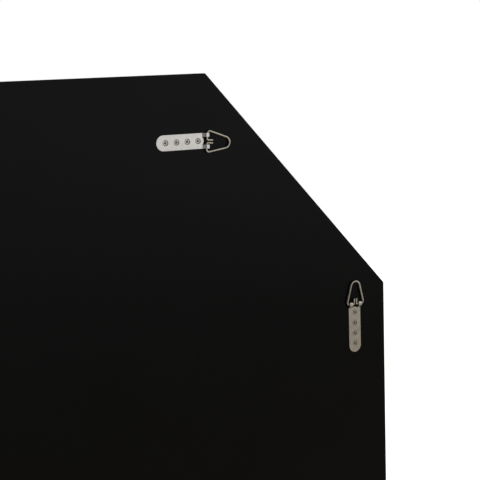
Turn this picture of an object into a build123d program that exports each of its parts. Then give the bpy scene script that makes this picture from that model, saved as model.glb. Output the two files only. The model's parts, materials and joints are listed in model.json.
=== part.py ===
# Octagonal wall mirror, 800 mm wide and 1200 mm high, millimetres.
# Frame: X across, +Z up, the glass faces -Y and the wall is on the +Y side.
# The origin is the middle of the board's back face.
from build123d import *
import math
import os

# Overall size of the board
board_width = 800
board_height = 1200
corner_across = 250
corner_down = 280
board_thickness = 15
board_corner_radius = 3
board_back_chamfer = 0.6

# Glass and the foam tape that holds it to the board
glass_thickness = 4
bevelled_edge_thickness = 2.4
edge_reveal = 1
strip_width = 70
strip_bevel = 12
centre_bevel = 25
glass_joint = 0.6
tape_thickness = 1
tape_width = 25
tape_end_margin = 30
centre_tape_rows = 5
centre_tape_margin = 60

# Strap of a hanger, pressed from sheet
strap_width = 18
strap_sheet = 1.0
strap_tongue_bulge = 1.6
first_hole_from_end = 11.6
hole_pitch = 13.8
hole_count = 4
hinge_from_end = 63.9

# Wire ring
wire_diameter = 2.3
wire_sides = 8
ring_reach = 29.95
ring_half_base = 13
ring_taper = 14.6
ring_corner_radius = 3.0
prong_spacing = 3.4
prong_length = 7.5
prong_bend_radius = 1.5

# Lugs that curl over the ring's base wire
lug_width = 4.4
lug_rise_angle = 50
lug_bend_radius = 0.8
wire_clearance = 0.2
wire_side_play = 1.8
lug_tail = 1.0
lug_lift = 0.1
lug_root = 0.5
lug_relief = 0.3

# Countersunk screws
screw_length = 12
screw_diameter = 3.5
screw_head_diameter = 7.0
screw_point = 3
head_angle = 90
seat_clearance = 0.05
pilot_clearance = 0.05
pilot_extra_depth = 1

# Hangers: how far each hinge line lies from the board's edge, and along it from the end of the
# board or from the cut corner
side_hanger_inset = 48
side_hanger_drop = 302
end_hanger_inset = 77.3
end_hanger_from_corner = 2.7

end_hanger_across = board_width / 2 - corner_across - end_hanger_from_corner

# Each hanger's place across and up, the way its ring points as seen from behind, in degrees
# from the right, and how far the loose ring has turned and slid in its lugs
hangers = {
    "left": (side_hanger_inset - board_width / 2, board_height / 2 - side_hanger_drop, 90, -1.5, -0.3),
    "right": (board_width / 2 - side_hanger_inset, board_height / 2 - side_hanger_drop, 90, 2.5, 0.4),
    "top": (-end_hanger_across, board_height / 2 - end_hanger_inset, -0.5, -6.0, -0.8),
    "bottom": (-end_hanger_across, end_hanger_inset - board_height / 2, 0.5, -3.0, -0.5),
}

# Values that follow from the ones above
wire_radius = wire_diameter / 2
lug_bore = wire_radius + wire_clearance
lug_path_radius = lug_bore + strap_sheet / 2
wire_height = lug_lift + strap_sheet + lug_bore
lug_outer_edge = strap_width / 2
lug_centre = lug_outer_edge - lug_width / 2
tongue_half_width = lug_outer_edge - lug_width - lug_relief
rise = math.radians(lug_rise_angle)
lug_wall = (
    wire_height + lug_path_radius - strap_sheet / 2
    - (lug_bend_radius + lug_path_radius) * (1 - math.cos(rise))
) / math.sin(rise)
lug_run = (lug_bend_radius + lug_path_radius) * math.sin(rise) + lug_wall * math.cos(rise)
lug_start = -wire_side_play / 2 - lug_run
ring_tip = ring_half_base / math.tan(math.radians(ring_taper))
ring_apex_radius = (ring_tip - ring_reach) / (1 / math.sin(math.radians(ring_taper)) - 1)
glass_back = board_thickness + tape_thickness
head_radius_at_board = screw_head_diameter / 2 - strap_sheet * math.tan(math.radians(head_angle / 2))

# The octagon's sides, seen from the front, in the order of their first corners
side_names = ("top_right", "top", "top_left", "left", "bottom_left", "bottom", "bottom_right", "right")

back = Plane(origin=(0, 0, 0), x_dir=(-1, 0, 0), z_dir=(0, 1, 0))
board_front = Plane(origin=(0, -board_thickness, 0), x_dir=(1, 0, 0), z_dir=(0, -1, 0))
glass_plane = Plane(origin=(0, -glass_back, 0), x_dir=(1, 0, 0), z_dir=(0, -1, 0))


def save(piece, name):
    piece.label = name
    export_step(piece, f"parts/{name}.step")


# The eight corners of the octagon, counter-clockwise, moved inwards by inset
def corners(inset):
    half_width = board_width / 2
    half_height = board_height / 2
    quarter = [
        Vector(half_width, half_height - corner_down),
        Vector(half_width - corner_across, half_height),
    ]
    half = quarter + [Vector(-p.X, p.Y) for p in reversed(quarter)]
    outline = half + [Vector(-p.X, -p.Y) for p in half]
    moved = []
    for i, corner in enumerate(outline):
        before = (corner - outline[i - 1]).normalized().rotate(Axis.Z, 90)
        after = (outline[(i + 1) % 8] - corner).normalized().rotate(Axis.Z, 90)
        moved.append(corner + (before + after) * (inset / (1 + before.dot(after))))
    return moved


# A hanger's own frame: origin on the board under the hinge line, x the way the ring points
def hanger_plane(across, up, turn):
    return Plane(back.location * Location((-across, up, 0), (0, 0, turn)))


def screw_stations():
    return [first_hole_from_end + i * hole_pitch - hinge_from_end for i in range(hole_count)]


def make_board(planes):
    with BuildPart() as board:
        with BuildSketch(back) as outline:
            Polygon(*corners(0), align=None)
            fillet(outline.vertices(), board_corner_radius)
        extrude(amount=-board_thickness)
        chamfer(board.faces().sort_by(Axis.Y)[-1].edges(), board_back_chamfer)
        with Locations(*[p.location * Location((x, 0, 0)) for p in planes for x in screw_stations()]):
            Hole(screw_diameter / 2 + pilot_clearance, depth=screw_length - strap_sheet + pilot_extra_depth)
    return board.part


# Bevelled centre plate: a straight edge below, the bevel ground above it
def make_centre_mirror():
    edge = edge_reveal + strip_width + glass_joint
    with BuildPart() as mirror:
        with BuildSketch(glass_plane):
            Polygon(*corners(edge), align=None)
        extrude(amount=bevelled_edge_thickness)
        with BuildSketch(glass_plane.offset(bevelled_edge_thickness)):
            Polygon(*corners(edge), align=None)
        with BuildSketch(glass_plane.offset(glass_thickness)):
            Polygon(*corners(edge + centre_bevel), align=None)
        loft(ruled=True)
    return mirror.part


# One border strip: bevelled stock along a side of the octagon, mitred at both ends
def make_strip(side):
    outer = corners(edge_reveal)
    inner = corners(edge_reveal + strip_width)
    start, end = outer[side], outer[(side + 1) % 8]
    along = (end - start).normalized()
    inward = along.rotate(Axis.Z, 90)
    cuts = []
    for corner, inside, sense in (
        (start, inner[side], 1),
        (end, inner[(side + 1) % 8], -1),
    ):
        across = (inside - corner).normalized().rotate(Axis.Z, -90 * sense)
        middle = corner + across * (glass_joint / 2)
        cuts.append(Plane(
            origin=glass_plane.from_local_coords(middle),
            z_dir=glass_plane.from_local_coords(across) - glass_plane.origin,
        ))
    section = Plane(
        origin=glass_plane.from_local_coords(start),
        x_dir=glass_plane.from_local_coords(inward) - glass_plane.origin,
        z_dir=glass_plane.from_local_coords(along) - glass_plane.origin,
    )
    with BuildPart() as strip:
        with BuildSketch(section):
            Polygon(
                (0, 0),
                (strip_width, 0),
                (strip_width, bevelled_edge_thickness),
                (strip_width - strip_bevel, glass_thickness),
                (strip_bevel, glass_thickness),
                (0, bevelled_edge_thickness),
                align=None,
            )
        extrude(amount=(end - start).length)
        for cut in cuts:
            split(bisect_by=cut, keep=Keep.TOP)
    return strip.part


# Foam tape down the middle of each border strip
def make_border_tape():
    middle = corners(edge_reveal + strip_width / 2)
    with BuildPart() as tape:
        with BuildSketch(board_front):
            for i, start in enumerate(middle):
                side = middle[(i + 1) % 8] - start
                with Locations(Location(start + side / 2, (0, 0, math.degrees(math.atan2(side.Y, side.X))))):
                    Rectangle(side.length - 2 * tape_end_margin, tape_width)
        extrude(amount=tape_thickness)
    return tape.part


# Upright runs of foam tape behind the centre plate, each as long as the plate leaves room for
def make_centre_tape():
    edge = edge_reveal + strip_width + glass_joint + centre_tape_margin
    with BuildPart() as tape:
        with BuildSketch(board_front):
            span = 2 * corners(edge)[0].X - tape_width
            with GridLocations(span / (centre_tape_rows - 1), 0, centre_tape_rows, 1):
                Rectangle(tape_width, board_height)
            Polygon(*corners(edge), align=None, mode=Mode.INTERSECT)
        extrude(amount=tape_thickness)
    return tape.part


# Strap: the flat blank with its countersunk holes, and two lugs bent up and curled over
def make_strap(base):
    blank_start = -hinge_from_end
    half = strap_width / 2
    with BuildPart() as strap:
        with BuildSketch(base):
            with BuildLine():
                Line((lug_start, half), (blank_start + half, half))
                ThreePointArc((blank_start + half, half), (blank_start, 0), (blank_start + half, -half))
                Line((blank_start + half, -half), (lug_start, -half))
                Line((lug_start, -half), (lug_start, -tongue_half_width))
                ThreePointArc(
                    (lug_start, -tongue_half_width),
                    (lug_start + strap_tongue_bulge, 0),
                    (lug_start, tongue_half_width),
                )
                Line((lug_start, tongue_half_width), (lug_start, half))
            make_face()
        extrude(amount=strap_sheet)
        for side in (-1, 1):
            bend_plane = Plane(
                origin=base.from_local_coords((0, side * lug_centre, 0)),
                x_dir=base.x_dir,
                z_dir=-base.y_dir,
            )
            with BuildLine(bend_plane) as bend:
                root = Line((lug_start - lug_root, strap_sheet / 2), (lug_start, strap_sheet / 2))
                foot = JernArc(root @ 1, root % 1, lug_bend_radius, lug_rise_angle)
                wall = PolarLine(foot @ 1, lug_wall, direction=foot % 1)
                shoulder = JernArc(wall @ 1, wall % 1, lug_path_radius, -lug_rise_angle)
                top = PolarLine(shoulder @ 1, wire_side_play, direction=shoulder % 1)
                curl = JernArc(top @ 1, top % 1, lug_path_radius, -180)
                PolarLine(curl @ 1, lug_tail, direction=curl % 1)
            with BuildSketch(Plane(origin=bend.line @ 0, x_dir=base.y_dir, z_dir=base.x_dir)):
                Rectangle(lug_width, strap_sheet)
            sweep(path=bend.line)
        with Locations(*[base.location * Location((x, 0, strap_sheet)) for x in screw_stations()]):
            CounterSinkHole(
                radius=head_radius_at_board + seat_clearance,
                counter_sink_radius=screw_head_diameter / 2 + seat_clearance,
                depth=strap_sheet,
                counter_sink_angle=head_angle,
            )
    return strap.part


# The ring's own frame, at the height of its wire: y runs along the hinge line
def hinge_plane(base, turn, slide):
    return Plane(base.offset(wire_height).location * Location((0, 0, 0), (0, 0, turn)) * Location((0, slide, 0)))


# Ring: one wire of a many-sided section, its two ends lying side by side inside the triangle
def make_ring(wire_plane):
    prong = prong_spacing / 2
    with BuildPart() as ring:
        with BuildLine(wire_plane) as path:
            FilletPolyline(
                (prong_length, -prong),
                (0, -prong),
                (0, -ring_half_base),
                (ring_tip, 0),
                (0, ring_half_base),
                (0, prong),
                (prong_length, prong),
                radius=[
                    prong_bend_radius,
                    ring_corner_radius,
                    ring_apex_radius,
                    ring_corner_radius,
                    prong_bend_radius,
                ],
            )
        with BuildSketch(Plane(origin=path.line @ 0, z_dir=path.line % 0)):
            RegularPolygon(wire_radius, wire_sides, rotation=180 / wire_sides)
        sweep(path=path.line)
    return ring.part


# Screws through every strap into the board: countersunk head, shank and point
def make_screws(planes):
    with BuildPart() as screws:
        for base in planes:
            for x in screw_stations():
                top = Plane(base.offset(strap_sheet).location * Location((x, 0, 0)))
                with BuildSketch(Plane(origin=top.origin, x_dir=top.x_dir, z_dir=top.y_dir)):
                    with BuildLine():
                        Polyline(
                            (0, 0),
                            (screw_head_diameter / 2, 0),
                            (head_radius_at_board, strap_sheet),
                            (screw_diameter / 2, strap_sheet),
                            (screw_diameter / 2, screw_length - screw_point),
                            (0, screw_length),
                            (0, 0),
                        )
                    make_face()
                revolve(axis=Axis(top.origin, top.z_dir))
    return screws.part


os.makedirs("parts", exist_ok=True)
planes = {name: hanger_plane(across, up, turn) for name, (across, up, turn, _, _) in hangers.items()}
save(make_board(planes.values()), "back_board")
save(make_centre_mirror(), "centre_mirror")
for side, place in enumerate(side_names):
    save(make_strip(side), f"border_strip_{place}")
save(make_border_tape(), "border_tape")
save(make_centre_tape(), "centre_tape")
save(make_screws(planes.values()), "hanger_screws")
for name, (_, _, _, ring_turn, ring_slide) in hangers.items():
    base = planes[name]
    hinge = hinge_plane(base, ring_turn, ring_slide)
    save(make_strap(base), f"hanger_strap_{name}")
    save(make_ring(hinge), f"hanger_ring_{name}")
    print(name, "hinge at", hinge.origin, "about", hinge.x_dir.cross(hinge.z_dir))
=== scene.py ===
# %% [markdown]
# # An octagonal wall mirror, seen from behind
# The part comes from CAD as a fixed frame, in metres: X runs across, Z up, the mirrored front faces -Y
# and the back, with its four hangers, faces +Y. The origin is the middle of the board's back.
# This lesson gives every piece its finish, and makes again the small pieces that CAD keeps plain:
# the screws with their cross recesses and the wire rings.

import json
import math

import bmesh
import bpy
from mathutils import Matrix, Vector


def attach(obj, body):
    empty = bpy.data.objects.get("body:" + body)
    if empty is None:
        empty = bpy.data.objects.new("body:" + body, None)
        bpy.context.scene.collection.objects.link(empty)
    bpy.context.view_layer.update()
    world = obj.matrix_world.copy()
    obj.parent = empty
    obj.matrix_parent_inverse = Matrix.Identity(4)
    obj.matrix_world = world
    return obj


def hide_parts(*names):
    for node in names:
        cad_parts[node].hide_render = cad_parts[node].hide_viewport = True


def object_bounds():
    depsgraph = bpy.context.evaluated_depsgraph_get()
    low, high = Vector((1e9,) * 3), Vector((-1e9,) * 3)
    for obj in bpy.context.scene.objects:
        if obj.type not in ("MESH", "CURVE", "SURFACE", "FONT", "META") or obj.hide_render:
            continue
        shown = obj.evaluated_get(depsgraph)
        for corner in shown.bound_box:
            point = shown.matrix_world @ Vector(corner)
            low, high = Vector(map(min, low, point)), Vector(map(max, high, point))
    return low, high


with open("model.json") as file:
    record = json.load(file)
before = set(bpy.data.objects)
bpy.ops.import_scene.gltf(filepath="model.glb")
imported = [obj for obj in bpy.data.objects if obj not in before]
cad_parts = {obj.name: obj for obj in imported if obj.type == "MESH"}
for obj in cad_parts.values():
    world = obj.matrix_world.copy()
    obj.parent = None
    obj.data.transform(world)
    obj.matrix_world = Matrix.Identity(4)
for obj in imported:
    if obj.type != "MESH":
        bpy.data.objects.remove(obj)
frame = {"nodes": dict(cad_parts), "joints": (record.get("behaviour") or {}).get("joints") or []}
cad_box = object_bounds()

# %% [markdown]
# ## The camera
# The picture was taken from behind, a little above the mirror's middle, with a moderately long lens.
# Its place and directions were fitted to the board's edges and to both hangers, so the camera is set
# from three directions instead of being aimed by eye.

# %% Camera
camera_place = Vector((0.40345, 1.07547, 0.60984))
picture_right = Vector((-0.87279, 0.48671, -0.03688))
picture_up = Vector((-0.11368, -0.12922, 0.98508))
picture_toward_viewer = Vector((0.47468, 0.86396, 0.16811))
lens_mm = 77.71
sensor_mm = 36

camera_data = bpy.data.cameras.new("camera")
camera_data.lens = lens_mm
camera_data.sensor_width = sensor_mm
camera_data.clip_start = 0.05
camera = bpy.data.objects.new("camera", camera_data)
turn = Matrix((picture_right, picture_up, picture_toward_viewer)).transposed().to_4x4()
camera.matrix_world = Matrix.Translation(camera_place) @ turn
bpy.context.scene.collection.objects.link(camera)
bpy.context.scene.camera = camera
print("camera at", tuple(round(v, 3) for v in camera_place))

# %% [markdown]
# ## Helpers for materials
# A material is a small network. Wiring it by hand repeats the same three moves: add a node, set its
# values, and join two sockets. These helpers do that, so that each finish below stays short.


# %% Material helpers
def new_material(name, **values):
    material = bpy.data.materials.new(name)
    material.use_nodes = True
    shader = material.node_tree.nodes["Principled BSDF"]
    fill(material.node_tree, shader, **values)
    return material, material.node_tree, shader


def feed(tree, socket, value):
    """Link a socket to another one, or give it a value. A colour may be given by three numbers."""
    if isinstance(value, bpy.types.NodeSocket):
        tree.links.new(value, socket)
    elif socket.type == "RGBA" and isinstance(value, tuple):
        socket.default_value = (*value, 1)
    else:
        socket.default_value = value


def fill(tree, node, **inputs):
    for name, value in inputs.items():
        feed(tree, node.inputs[name.replace("_", " ")], value)


def add(tree, kind, settings=None, **inputs):
    node = tree.nodes.new(kind)
    for name, value in (settings or {}).items():
        setattr(node, name, value)
    fill(tree, node, **inputs)
    return node


def ramp(tree, factor, *stops):
    node = add(tree, "ShaderNodeValToRGB", Fac=factor)
    band = node.color_ramp
    while len(band.elements) < len(stops):
        band.elements.new(1)
    for element, (place, colour) in zip(band.elements, stops):
        element.position = place
        element.color = (*colour, 1) if isinstance(colour, tuple) else (colour, colour, colour, 1)
    return node.outputs["Color"]


def blend_colour(tree, factor, first, second, kind="MIX"):
    node = add(tree, "ShaderNodeMix", {"data_type": "RGBA", "blend_type": kind})
    for socket, value in ((node.inputs[0], factor), (node.inputs[6], first), (node.inputs[7], second)):
        feed(tree, socket, value)
    return node.outputs[2]


def blend_value(tree, factor, first, second):
    node = add(tree, "ShaderNodeMix")
    for socket, value in ((node.inputs[0], factor), (node.inputs[2], first), (node.inputs[3], second)):
        feed(tree, socket, value)
    return node.outputs[0]


def calculated(tree, operation, first, second):
    node = add(tree, "ShaderNodeMath", {"operation": operation})
    feed(tree, node.inputs[0], first)
    feed(tree, node.inputs[1], second)
    return node.outputs[0]


def ranged(tree, value, low, high, at_low, at_high, interpolation="LINEAR"):
    return add(
        tree, "ShaderNodeMapRange", {"interpolation_type": interpolation}, Value=value,
        From_Min=low, From_Max=high, To_Min=at_low, To_Max=at_high,
    ).outputs["Result"]


def object_place(tree):
    return add(tree, "ShaderNodeTexCoord").outputs["Object"]


def stretched(tree, place, scale):
    return add(tree, "ShaderNodeMapping", Vector=place, Scale=scale).outputs["Vector"]


def noise(tree, place, scale, detail=3):
    node = add(tree, "ShaderNodeTexNoise", Vector=place, Scale=scale, Detail=detail, Roughness=0.5)
    return node.outputs["Fac"]


def bumped(tree, height, strength, distance):
    node = add(tree, "ShaderNodeBump", Height=height, Strength=strength, Distance=distance)
    return node.outputs["Normal"]


def finish_node(name, material):
    piece = frame["nodes"][name]
    piece.data.materials.clear()
    piece.data.materials.append(material)
    print("finish", material.name, "on", name)


print("helpers for materials ready")

# %% [markdown]
# An effect that several materials share is a node group: its sockets are named once, and a material
# then uses it as if it were one node. The group's input node gives the values that a material sends
# in, and its output node takes what comes out.


# %% Group helpers
def new_group(name, inputs, outputs):
    group = bpy.data.node_groups.new(name, "ShaderNodeTree")
    for way, sockets in (("INPUT", inputs), ("OUTPUT", outputs)):
        for socket, kind in sockets.items():
            group.interface.new_socket(socket, in_out=way, socket_type=f"NodeSocket{kind}")
    given = group.nodes.new("NodeGroupInput").outputs
    result = group.nodes.new("NodeGroupOutput").inputs
    return group, given, result


def use_group(tree, group, **inputs):
    return add(tree, "ShaderNodeGroup", {"node_tree": group}, **inputs).outputs


print("helpers for groups ready")

# %% [markdown]
# ## Handling marks
# Smooth paint, glass and plating all pick up faint marks from hands and cloths: broad soft patches
# where the gloss changes a little. Several finishes use them, so they are one group, which puts out
# only a value that changes over the surface.

# %% Shared group: handling marks
marks, given, result = new_group(
    "handling_marks",
    {"Place": "Vector", "Patch Size": "Float", "Low": "Float", "High": "Float"},
    {"Value": "Float"},
)
patches = add(
    marks, "ShaderNodeTexNoise", Vector=given["Place"], Scale=given["Patch Size"],
    Detail=5, Roughness=0.62, Distortion=0.4,
)
spread = ranged(
    marks, patches.outputs["Fac"], low=0.3, high=0.7, at_low=given["Low"], at_high=given["High"]
)
marks.links.new(spread, result["Value"])


def handling_marks(tree, place, scale, low, high):
    return use_group(tree, marks, Place=place, Patch_Size=scale, Low=low, High=high)["Value"]


print("group", marks.name, "with", len(marks.nodes), "nodes")

# %% [markdown]
# ## Satin black paint on the board
# The board is fibreboard, sprayed black. Sprayed paint has a fine even orange peel and a soft sheen. The
# colour is almost black, with a very slight change over tens of centimetres.

# %% Board paint
paint, tree, shader = new_material("satin_black_paint", Specular_IOR_Level=0.11)
place = object_place(tree)
tone = noise(tree, place, 3.2, detail=4)
colour = ramp(tree, tone, (0.3, (0.0011, 0.0011, 0.0013)), (0.7, (0.0017, 0.0017, 0.0020)))
tree.links.new(colour, shader.inputs["Base Color"])
gloss = handling_marks(tree, place, scale=6, low=0.27, high=0.34)
tree.links.new(gloss, shader.inputs["Roughness"])
peel = noise(tree, place, 900, detail=2)
tree.links.new(bumped(tree, peel, strength=0.12, distance=0.0004), shader.inputs["Normal"])
finish_node("back_board", paint)

# %% [markdown]
# ## Silvered glass
# A mirror is clear float glass with silver behind it. Seen from outside it is one smooth metal-like
# surface. Its plates are cleaner than anything else here: a trace of wiping marks keeps the reflection
# from looking computed. The ground edges have no silver behind them, so there one looks into the glass,
# which is green. The direction that a face points in tells the edges from the faces and bevels.

# %% Mirror glass
silvering, tree, shader = new_material("silvered_glass")
place = object_place(tree)
wiping = stretched(tree, place, (1, 1, 0.35))
wiped = handling_marks(tree, wiping, scale=5, low=0.012, high=0.035)
tree.links.new(wiped, shader.inputs["Roughness"])
facing = add(tree, "ShaderNodeNewGeometry").outputs["Normal"]
forward = add(tree, "ShaderNodeSeparateXYZ", Vector=facing).outputs["Y"]
silvered = ranged(tree, forward, low=-0.7, high=-0.3, at_low=1, at_high=0)
tree.links.new(silvered, shader.inputs["Metallic"])
tint = ramp(tree, noise(tree, place, 1.4), (0.2, (0.86, 0.895, 0.885)), (0.8, (0.885, 0.905, 0.9)))
depths = ramp(tree, noise(tree, place, 60), (0.3, (0.05, 0.13, 0.10)), (0.7, (0.09, 0.19, 0.15)))
tree.links.new(blend_colour(tree, silvered, depths, tint), shader.inputs["Base Color"])
side_places = ("top_right", "top", "top_left", "left", "bottom_left", "bottom", "bottom_right", "right")
for name in ["centre_mirror"] + [f"border_strip_{side}" for side in side_places]:
    finish_node(name, silvering)

# %% [markdown]
# ## Foam tape
# White closed-cell foam: matt, with fine cells that show at its cut edges.

# %% Foam tape
foam, tree, shader = new_material("foam_tape", Roughness=0.85)
place = object_place(tree)
cells = add(tree, "ShaderNodeTexVoronoi", Vector=place, Scale=1400).outputs["Distance"]
tree.links.new(bumped(tree, cells, strength=0.4, distance=0.0003), shader.inputs["Normal"])
shade = ramp(tree, noise(tree, place, 30), (0.3, (0.70, 0.70, 0.67)), (0.7, (0.78, 0.78, 0.75)))
tree.links.new(shade, shader.inputs["Base Color"])
for name in ("border_tape", "centre_tape"):
    finish_node(name, foam)

# %% [markdown]
# ## Rolled and plated metal
# Straps, wire and screws are all drawn or rolled before they are plated. Fine lines stay visible along
# the metal, over soft patches of a warmer and a duller tone. The group puts out the colour, and the
# lines' height for the bump.

# %% Shared group: rolled plating
rolled, given, result = new_group(
    "rolled_plating",
    {"Place": "Vector", "Line Scale": "Vector", "Warm": "Color", "Dull": "Color"},
    {"Color": "Color", "Height": "Float"},
)
drawn_out = stretched(rolled, given["Place"], given["Line Scale"])
lines = noise(rolled, drawn_out, scale=1, detail=2)
patches = noise(rolled, given["Place"], scale=180, detail=4)
toned = blend_colour(rolled, patches, given["Dull"], given["Warm"])
line_tones = ramp(rolled, lines, (0.3, 0.35), (0.7, 0.75))
line_share = 0.25
lined = blend_colour(rolled, line_share, toned, line_tones, "SOFT_LIGHT")
rolled.links.new(lined, result["Color"])
rolled.links.new(lines, result["Height"])
print("group", rolled.name, "with", len(rolled.nodes), "nodes")

# %% [markdown]
# ## Painted shade in sunk places
# Countersinks and screw recesses lie in shade, and this group paints that shade into the colour. How
# deep a point lies tells where: the colour starts to darken a little below the height given as Face,
# and is dark a fifth of a millimetre lower.

# %% Shared group: painted shade in sunk places
painted_recess_shade, given, result = new_group(
    "painted_recess_shade",
    {"Place": "Vector", "Color": "Color", "Face": "Float", "Grime": "Color"},
    {"Color": "Color"},
)
# The darkening below Face is painted shade, standing in for the shade that a recess's walls cast.
shade_starts = -0.0001
shade_full = -0.0003
height = add(painted_recess_shade, "ShaderNodeSeparateXYZ", Vector=given["Place"]).outputs["Y"]
above_face = calculated(painted_recess_shade, "SUBTRACT", height, given["Face"])
sunk = ranged(painted_recess_shade, above_face, low=shade_full, high=shade_starts, at_low=1, at_high=0)
darkened = blend_colour(painted_recess_shade, 1.0, given["Color"], given["Grime"], "MULTIPLY")
painted_recess_shade.links.new(blend_colour(painted_recess_shade, sunk, given["Color"], darkened), result["Color"])
print("group", painted_recess_shade.name, "with", len(painted_recess_shade.nodes), "nodes")

# %% [markdown]
# ## Plating on the straps
# The straps are stamped from sheet steel and plated with satin nickel: a warm grey with fine rolling
# lines along the strap, a soft sheen, and painted shade in the countersinks. The lines run with the
# sheet, so the upright and the level straps need the pattern turned, which the group's Line Scale does.
# All four are the same part, and the upright ones get a darker, yellower copy of the nickel, which is
# painted shade and a painted reflection of the cream floor.

# %% Strap plating
HANGERS = ("left", "right", "top", "bottom")
warm_nickel = (0.68, 0.665, 0.645)
dull_nickel = (0.60, 0.58, 0.55)
# The upright straps' nickel is darker and yellower: painted shade and a painted reflection of the cream
# floor, on the same part as the level straps.
shaded_yellow_nickel = (0.60, 0.565, 0.495)
shaded_dull_yellow_nickel = (0.52, 0.485, 0.415)


rough_low = 0.24
rough_high = 0.32
strap_face = 0.001
# The colour that the straps' countersinks are darkened towards: painted shade.
strap_recess_shade = (0.25, 0.25, 0.2375)
lines_level = (60, 900, 1400)
lines_upright = (1400, 900, 60)


def plating(name, line_scale, warm, dull, low=rough_low, high=rough_high, face=None, recess_shade=None):
    material, tree, shader = new_material(name, Metallic=1)
    place = object_place(tree)
    metal = use_group(tree, rolled, Place=place, Line_Scale=line_scale, Warm=warm, Dull=dull)
    shade = metal["Color"]
    # In sunk places the colour is darkened with painted shade.
    if face is not None:
        shade = use_group(tree, painted_recess_shade, Place=place, Color=shade, Face=face, Grime=recess_shade)["Color"]
    tree.links.new(shade, shader.inputs["Base Color"])
    gloss = handling_marks(tree, place, scale=120, low=low, high=high)
    tree.links.new(gloss, shader.inputs["Roughness"])
    lined = bumped(tree, metal["Height"], strength=0.15, distance=0.0001)
    tree.links.new(lined, shader.inputs["Normal"])
    return material


strap_level = plating(
    "satin_nickel_level", lines_level, warm_nickel, dull_nickel, face=strap_face, recess_shade=strap_recess_shade
)
# A darker, yellower copy of the plating for the upright straps: painted shade, not a different plating.
shaded_strap_upright = plating(
    "satin_nickel_upright_painted_shade", lines_upright, shaded_yellow_nickel, shaded_dull_yellow_nickel,
    face=strap_face, recess_shade=strap_recess_shade,
)
for name in HANGERS:
    finish_node(f"hanger_strap_{name}", strap_level if name in ("top", "bottom") else shaded_strap_upright)

# %% [markdown]
# ## The hangers' places
# Every hanger is the same part, put down four times. A hanger's own directions are `along`, the way
# its ring points, and `side`, at right angles to it in the board's face. The turn is read as seen from
# behind, from the right, as the CAD model gives it.

# %% Where the hangers sit
mm = 0.001
side_hanger_across = 352 * mm
side_hanger_up = 298 * mm
end_hanger_across = 147.3 * mm
end_hanger_up = 522.7 * mm
end_hanger_turn = 0.5
hanger_places = {
    "left": (-side_hanger_across, side_hanger_up, 90),
    "right": (side_hanger_across, side_hanger_up, 90),
    "top": (-end_hanger_across, end_hanger_up, -end_hanger_turn),
    "bottom": (-end_hanger_across, -end_hanger_up, end_hanger_turn),
}
outwards = Vector((0, 1, 0))


def in_place(origin, along):
    """The matrix that takes a piece drawn flat, pointing along X with its top at +Z, to its hanger."""
    side = outwards.cross(along)
    turned = Matrix((along, side, outwards)).transposed().to_4x4()
    return Matrix.Translation(origin) @ turned


def finished(name, shape, material, body, slot, *nodes):
    mesh = bpy.data.meshes.new(name)
    shape.to_mesh(mesh)
    shape.free()
    mesh.materials.append(material)
    piece = bpy.data.objects.new(name, mesh)
    bpy.context.scene.collection.objects.link(piece)
    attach(piece, body)
    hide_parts(*nodes)
    print(name, len(mesh.polygons), "faces")


for name, (across, up, points) in hanger_places.items():
    print(name, "hanger at", round(across, 4), round(up, 4), "pointing", points, "degrees")

# %% [markdown]
# ## Wire rings
# A ring is one length of nickel-plated wire. The bender starts at one end and alternates straight
# lengths with bends: prong, corner, long leg, apex, and the same back again. Spinning and extruding a
# circle repeats exactly that, so each bend is round and the section never pinches.

# %% Wire plating
warm_wire = (0.57, 0.54, 0.46)
dull_wire = (0.47, 0.44, 0.36)
wire_plating = plating("bright_nickel_wire", lines_level, warm_wire, dull_wire)
wire_radius = 1.15 * mm
wire_facets = 20
wire_end_round = 0.3 * mm
prong_length = 7.5 * mm
prong_offset = 1.7 * mm
half_base = 13 * mm
ring_reach = 29.95 * mm
leg_taper = math.radians(14.6)
prong_bend = 1.5 * mm
corner_bend = 3 * mm
spin_step = math.radians(9)
least_steps = 4
leg_tip = half_base / math.tan(leg_taper)
apex_radius = (leg_tip - ring_reach) / (1 / math.sin(leg_taper) - 1)
ring_corners = [
    Vector((prong_length, -prong_offset)),
    Vector((0, -prong_offset)),
    Vector((0, -half_base)),
    Vector((leg_tip, 0)),
    Vector((0, half_base)),
    Vector((0, prong_offset)),
    Vector((prong_length, prong_offset)),
]
bend_radii = [prong_bend, corner_bend, apex_radius, corner_bend, prong_bend]
print("wire", wire_radius * 2, "m thick, apex bent to", round(apex_radius, 5), "m")

# %% [markdown]
# The bender's head goes from corner to corner. Before each one it draws the wire straight up to where
# the bend begins, then spins its end round the bend's centre. The frame's hinges say where each ring
# hangs and which way it points.


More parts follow.
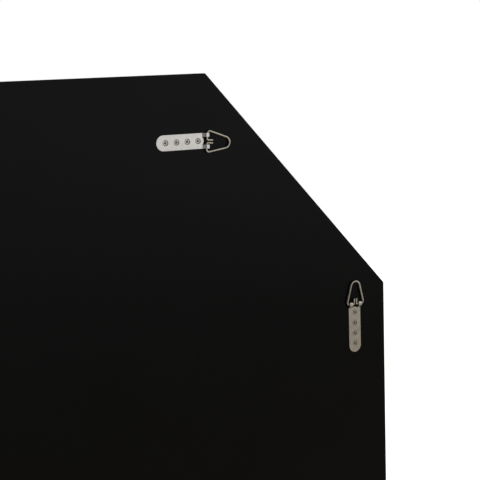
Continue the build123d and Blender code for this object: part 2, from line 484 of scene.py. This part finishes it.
# %% Bend one ring
def bend_ring():
    shape = bmesh.new()
    here, heading = ring_corners[0], (ring_corners[1] - ring_corners[0]).normalized()
    across = Matrix.Translation((*here, 0)) @ Matrix.Rotation(math.radians(90), 4, "Y")
    bmesh.ops.create_circle(shape, segments=wire_facets, radius=wire_radius, matrix=across)
    rim = shape.edges[:]
    for corner, after, radius in zip(ring_corners[1:-1], ring_corners[2:], bend_radii):
        leaving = (after - corner).normalized()
        bend = -heading.angle_signed(leaving)
        tangent = radius * math.tan(abs(bend) / 2)
        rim = straight(shape, rim, corner - heading * tangent - here)
        here = corner - heading * tangent
        inner = Vector((-heading.y, heading.x)) * math.copysign(radius, bend)
        spun = bmesh.ops.spin(
            shape, geom=rim, cent=(*(here + inner), 0), axis=(0, 0, math.copysign(1, bend)),
            dvec=(0, 0, 0), angle=abs(bend), steps=max(least_steps, round(abs(bend) / spin_step)),
            use_merge=False, use_duplicate=False,
        )
        rim = [e for e in spun["geom_last"] if isinstance(e, bmesh.types.BMEdge)]
        here, heading = corner + leaving * tangent, leaving
    straight(shape, rim, ring_corners[-1] - here)
    ends = [e for e in shape.edges if e.is_boundary]
    bmesh.ops.holes_fill(shape, edges=ends, sides=wire_facets)
    lids = [f for f in shape.faces if len(f.verts) == wire_facets]
    lid_edges = [e for f in lids for e in f.edges]
    bmesh.ops.bevel(
        shape, geom=lid_edges, offset=wire_end_round, segments=3, profile=0.5, affect="EDGES",
        material=-1,
    )
    bmesh.ops.recalc_face_normals(shape, faces=shape.faces)
    for face in shape.faces:
        face.smooth = len(face.verts) < wire_facets
    return shape


def straight(shape, rim, step):
    grown = bmesh.ops.extrude_edge_only(shape, edges=rim)["geom"]
    moved = [v for v in grown if isinstance(v, bmesh.types.BMVert)]
    bmesh.ops.translate(shape, verts=moved, vec=(*step, 0))
    edges = [e for e in grown if isinstance(e, bmesh.types.BMEdge)]
    return [e for e in edges if all(v in moved for v in e.verts)]


for joint in frame["joints"]:
    name = joint["name"].removeprefix("ring_").removesuffix("_hinge")
    along = outwards.cross(Vector(joint["axis"]))
    shape = bend_ring()
    bmesh.ops.transform(shape, matrix=in_place(Vector(joint["pos_m"]), along), verts=shape.verts)
    ring_body, plain_ring = f"ring_{name}", f"hanger_ring_{name}"
    finished(f"wire_ring_{name}", shape, wire_plating, ring_body, "ring_plating", plain_ring)

# %% [markdown]
# ## Screws
# Countersunk screws with a cross recess, driven by hand: each stands at its own angle, and its head
# lies a little below the strap, so the pressed countersink shows around it as a thin ring, darkened
# with painted shade. One screw is drawn with a spin for the turned part and an extrusion for the
# recess, whose walls and floor are darkened with painted shade too.

# %% Screw plating
warm_zinc = (0.56, 0.54, 0.49)
dull_zinc = (0.44, 0.42, 0.37)
# The colour that the screws' recesses are darkened towards: painted shade.
screw_recess_shade = (0.10, 0.10, 0.095)
strap_sheet = 1.0 * mm
head_radius = 2.85 * mm
head_sunk = 0.68 * mm
head_edge = 0.1 * mm
neck_radius = 2.5 * mm
shank_radius = 1.72 * mm
screw_length = 12 * mm
screw_point = 3 * mm
recess_arm = 1.75 * mm
recess_half_width = 0.5 * mm
recess_depth = 1.6 * mm
recess_floor_share = 0.55
head_facets = 48
merge_distance = 0.005 * mm
first_hole_from_end = 11.6 * mm
hinge_from_end = 63.9 * mm
hole_pitch = 13.8 * mm
hole_count = 4
screw_turns = (12, 55, -20, 38, 70, -8, 25, 48, 5, 61, -33, 17, 40, -15, 66, 30)
screw_plating = plating(
    "zinc_screw", lines_level, warm_zinc, dull_zinc, low=0.26, high=0.36,
    face=strap_sheet - head_sunk, recess_shade=screw_recess_shade,
)
print(len(screw_turns), "screws, heads", head_sunk, "m below the strap's face")

# %% [markdown]
# The profile runs from the head's rim down to the point, and a spin makes it solid. The cross is drawn
# in the head's open top, filled round, and its outline is pushed down and drawn in for the recess.


# %% Turn one screw
def turn_screw():
    shape = bmesh.new()
    profile = [
        (head_radius - head_edge, -head_sunk),
        (head_radius, -head_sunk - head_edge),
        (neck_radius, -strap_sheet),
        (shank_radius, -strap_sheet),
        (shank_radius, screw_point - screw_length),
        (0, -screw_length),
    ]
    line = [shape.verts.new((radius, 0, depth)) for radius, depth in profile]
    edges = [shape.edges.new(pair) for pair in zip(line, line[1:])]
    bmesh.ops.spin(
        shape, geom=line + edges, cent=(0, 0, 0), axis=(0, 0, 1), dvec=(0, 0, 0),
        angle=math.tau, steps=head_facets, use_merge=True, use_duplicate=False,
    )
    bmesh.ops.remove_doubles(shape, verts=shape.verts, dist=merge_distance)
    top_edge = [e for e in shape.edges if e.is_boundary]
    arm, half = recess_arm, recess_half_width
    one_arm = [(arm, -half), (arm, half), (half, half)]
    quarters = ((1, 0), (0, 1), (-1, 0), (0, -1))
    cross = [(x * c - y * s, x * s + y * c) for c, s in quarters for x, y in one_arm]
    mouth = [shape.verts.new((x, y, -head_sunk)) for x, y in cross]
    mouth_edges = [shape.edges.new((a, b)) for a, b in zip(mouth, mouth[1:] + mouth[:1])]
    bmesh.ops.triangle_fill(shape, use_beauty=True, edges=top_edge + mouth_edges)
    grown = bmesh.ops.extrude_edge_only(shape, edges=mouth_edges)["geom"]
    floor_verts = [v for v in grown if isinstance(v, bmesh.types.BMVert)]
    bmesh.ops.translate(shape, verts=floor_verts, vec=(0, 0, -recess_depth))
    bmesh.ops.scale(shape, verts=floor_verts, vec=(recess_floor_share, recess_floor_share, 1))
    floor_edges = [e for e in shape.edges if e.is_boundary]
    bmesh.ops.triangle_fill(shape, use_beauty=True, edges=floor_edges)
    bmesh.ops.recalc_face_normals(shape, faces=shape.faces)
    return shape


# %% [markdown]
# Four screws go in a row along each strap, each stopped at its own angle. All are one piece, as in
# the CAD model.

# %% Drive the screws
all_screws = bmesh.new()
turns = iter(screw_turns)
for name, (across, up, points) in hanger_places.items():
    along = Vector((-math.cos(math.radians(points)), 0, math.sin(math.radians(points))))
    for hole in range(hole_count):
        shape = turn_screw()
        from_hinge = first_hole_from_end + hole * hole_pitch - hinge_from_end
        centre = Vector((across, strap_sheet, up)) + along * from_hinge
        turned = Matrix.Rotation(math.radians(next(turns)), 4, "Z")
        bmesh.ops.transform(shape, matrix=in_place(centre, along) @ turned, verts=shape.verts)
        one = bpy.data.meshes.new("one_screw")
        shape.to_mesh(one)
        shape.free()
        all_screws.from_mesh(one)
        bpy.data.meshes.remove(one)
finished("cross_recess_screws", all_screws, screw_plating, "mirror", "screw_plating", "hanger_screws")

# %% [markdown]
# ## Floor, backdrop and light
# The mirror stands on a plain cream floor. To the camera's own rays it glows as well, so that far away
# it looks white, while reflections and the light that it throws back keep its cream. The glow is weaker
# round the mirror's foot, where the shadow has to show.

# %% Floor
bottom = cad_box[0][2]
floor_half = 5.2
floor_mesh = bpy.data.meshes.new("floor")
shape = bmesh.new()
under_mirror = Matrix.Translation((0, 0, bottom))
bmesh.ops.create_grid(shape, x_segments=1, y_segments=1, size=floor_half, matrix=under_mirror)
shape.to_mesh(floor_mesh)
shape.free()
floor = bpy.data.objects.new("floor", floor_mesh)
bpy.context.scene.collection.objects.link(floor)
floor_paint, tree, shader = new_material("floor_cream", Base_Color=(0.72, 0.665, 0.57), Roughness=0.9)
floor_mesh.materials.append(floor_paint)
rays = add(tree, "ShaderNodeLightPath")
from_middle = add(tree, "ShaderNodeVectorMath", {"operation": "LENGTH"}, Vector=object_place(tree))
glow_strength = ranged(
    tree, from_middle.outputs["Value"], low=0.7, high=1.5, at_low=0.6, at_high=0.92,
    interpolation="SMOOTHSTEP",
)
glow = add(tree, "ShaderNodeEmission", Color=(1, 1, 1), Strength=glow_strength)
seen_floor = add(tree, "ShaderNodeMixShader")
whitened = add(tree, "ShaderNodeAddShader")
output = tree.nodes["Material Output"]
tree.links.new(shader.outputs[0], whitened.inputs[0])
tree.links.new(glow.outputs[0], whitened.inputs[1])
tree.links.new(rays.outputs["Is Camera Ray"], seen_floor.inputs[0])
tree.links.new(shader.outputs[0], seen_floor.inputs[1])
tree.links.new(whitened.outputs[0], seen_floor.inputs[2])
tree.links.new(seen_floor.outputs[0], output.inputs["Surface"])
print("floor at", round(bottom, 4), "m")

# %% [markdown]
# Polished metal and glass need something to reflect. The world is brightest behind the mirror on the
# side that the level straps look at, and falls off to the other side and overhead, as the walls of a
# studio do. Only glossy rays see that; diffuse rays get one even pale level.

# %% World
world = bpy.data.worlds.new("studio")
bpy.context.scene.world = world
world.use_nodes = True
tree = world.node_tree
rays = add(tree, "ShaderNodeLightPath")
looking = add(tree, "ShaderNodeTexCoord").outputs["Generated"]
direction = add(tree, "ShaderNodeSeparateXYZ", Vector=looking).outputs
diffuse_level = 0.32
white_level = 1.0


def soft_range(value, low, high, at_low, at_high):
    return ranged(tree, value, low, high, at_low, at_high, interpolation="SMOOTHSTEP")


across_behind = soft_range(direction["X"], low=-0.45, high=0.6, at_low=1, at_high=0.06)
height_behind = soft_range(direction["Z"], low=0.25, high=0.8, at_low=1, at_high=0.45)
behind = calculated(tree, "MULTIPLY", across_behind, height_behind)
ahead = soft_range(direction["Z"], low=-0.1, high=0.9, at_low=0.74, at_high=0.42)
backwards = soft_range(direction["Y"], low=0, high=0.4, at_low=0, at_high=1)
walls = blend_value(tree, backwards, ahead, behind)
unseen = blend_value(tree, rays.outputs["Is Glossy Ray"], diffuse_level, walls)
seen = calculated(tree, "MAXIMUM", rays.outputs["Is Camera Ray"], rays.outputs["Is Transmission Ray"])
level = blend_value(tree, seen, unseen, white_level)
fill(tree, tree.nodes["Background"], Color=(1, 1, 1), Strength=level)
print("world", world.name, "with", len(tree.nodes), "nodes")

# %% [markdown]
# Three large soft panels make the studio: one behind the mirror and high, one at the front and one
# overhead. Reflections don't show them, so metal and glass reflect only the floor and the walls.


# %% Lights
def panel(name, place, target, size, power):
    light = bpy.data.lights.new(name, "AREA")
    light.shape = "RECTANGLE"
    light.size = light.size_y = size
    light.energy = power
    lamp = bpy.data.objects.new(name, light)
    lamp.matrix_world = Matrix.Translation(place) @ (
        (Vector(place) - Vector(target)).to_track_quat("Z", "Y").to_matrix().to_4x4()
    )
    lamp.visible_glossy = False
    bpy.context.scene.collection.objects.link(lamp)
    print(name, "at", place, "with", power, "W")


panel("back_panel", place=(2.2, 2.6, 1.9), target=(0, 0, 0.2), size=3.2, power=30)
panel("front_panel", place=(1.2, -2.6, 1.9), target=(0, 0, 0), size=3, power=30)
panel("top_panel", place=(0, 0.3, 2.6), target=(0, 0, 0), size=3, power=20)

# %% [markdown]
# ## Finish
# The scene uses the Standard view, in which a colour renders about as it is written.

# %% Close the scene
bpy.context.scene.view_settings.view_transform = "Standard"
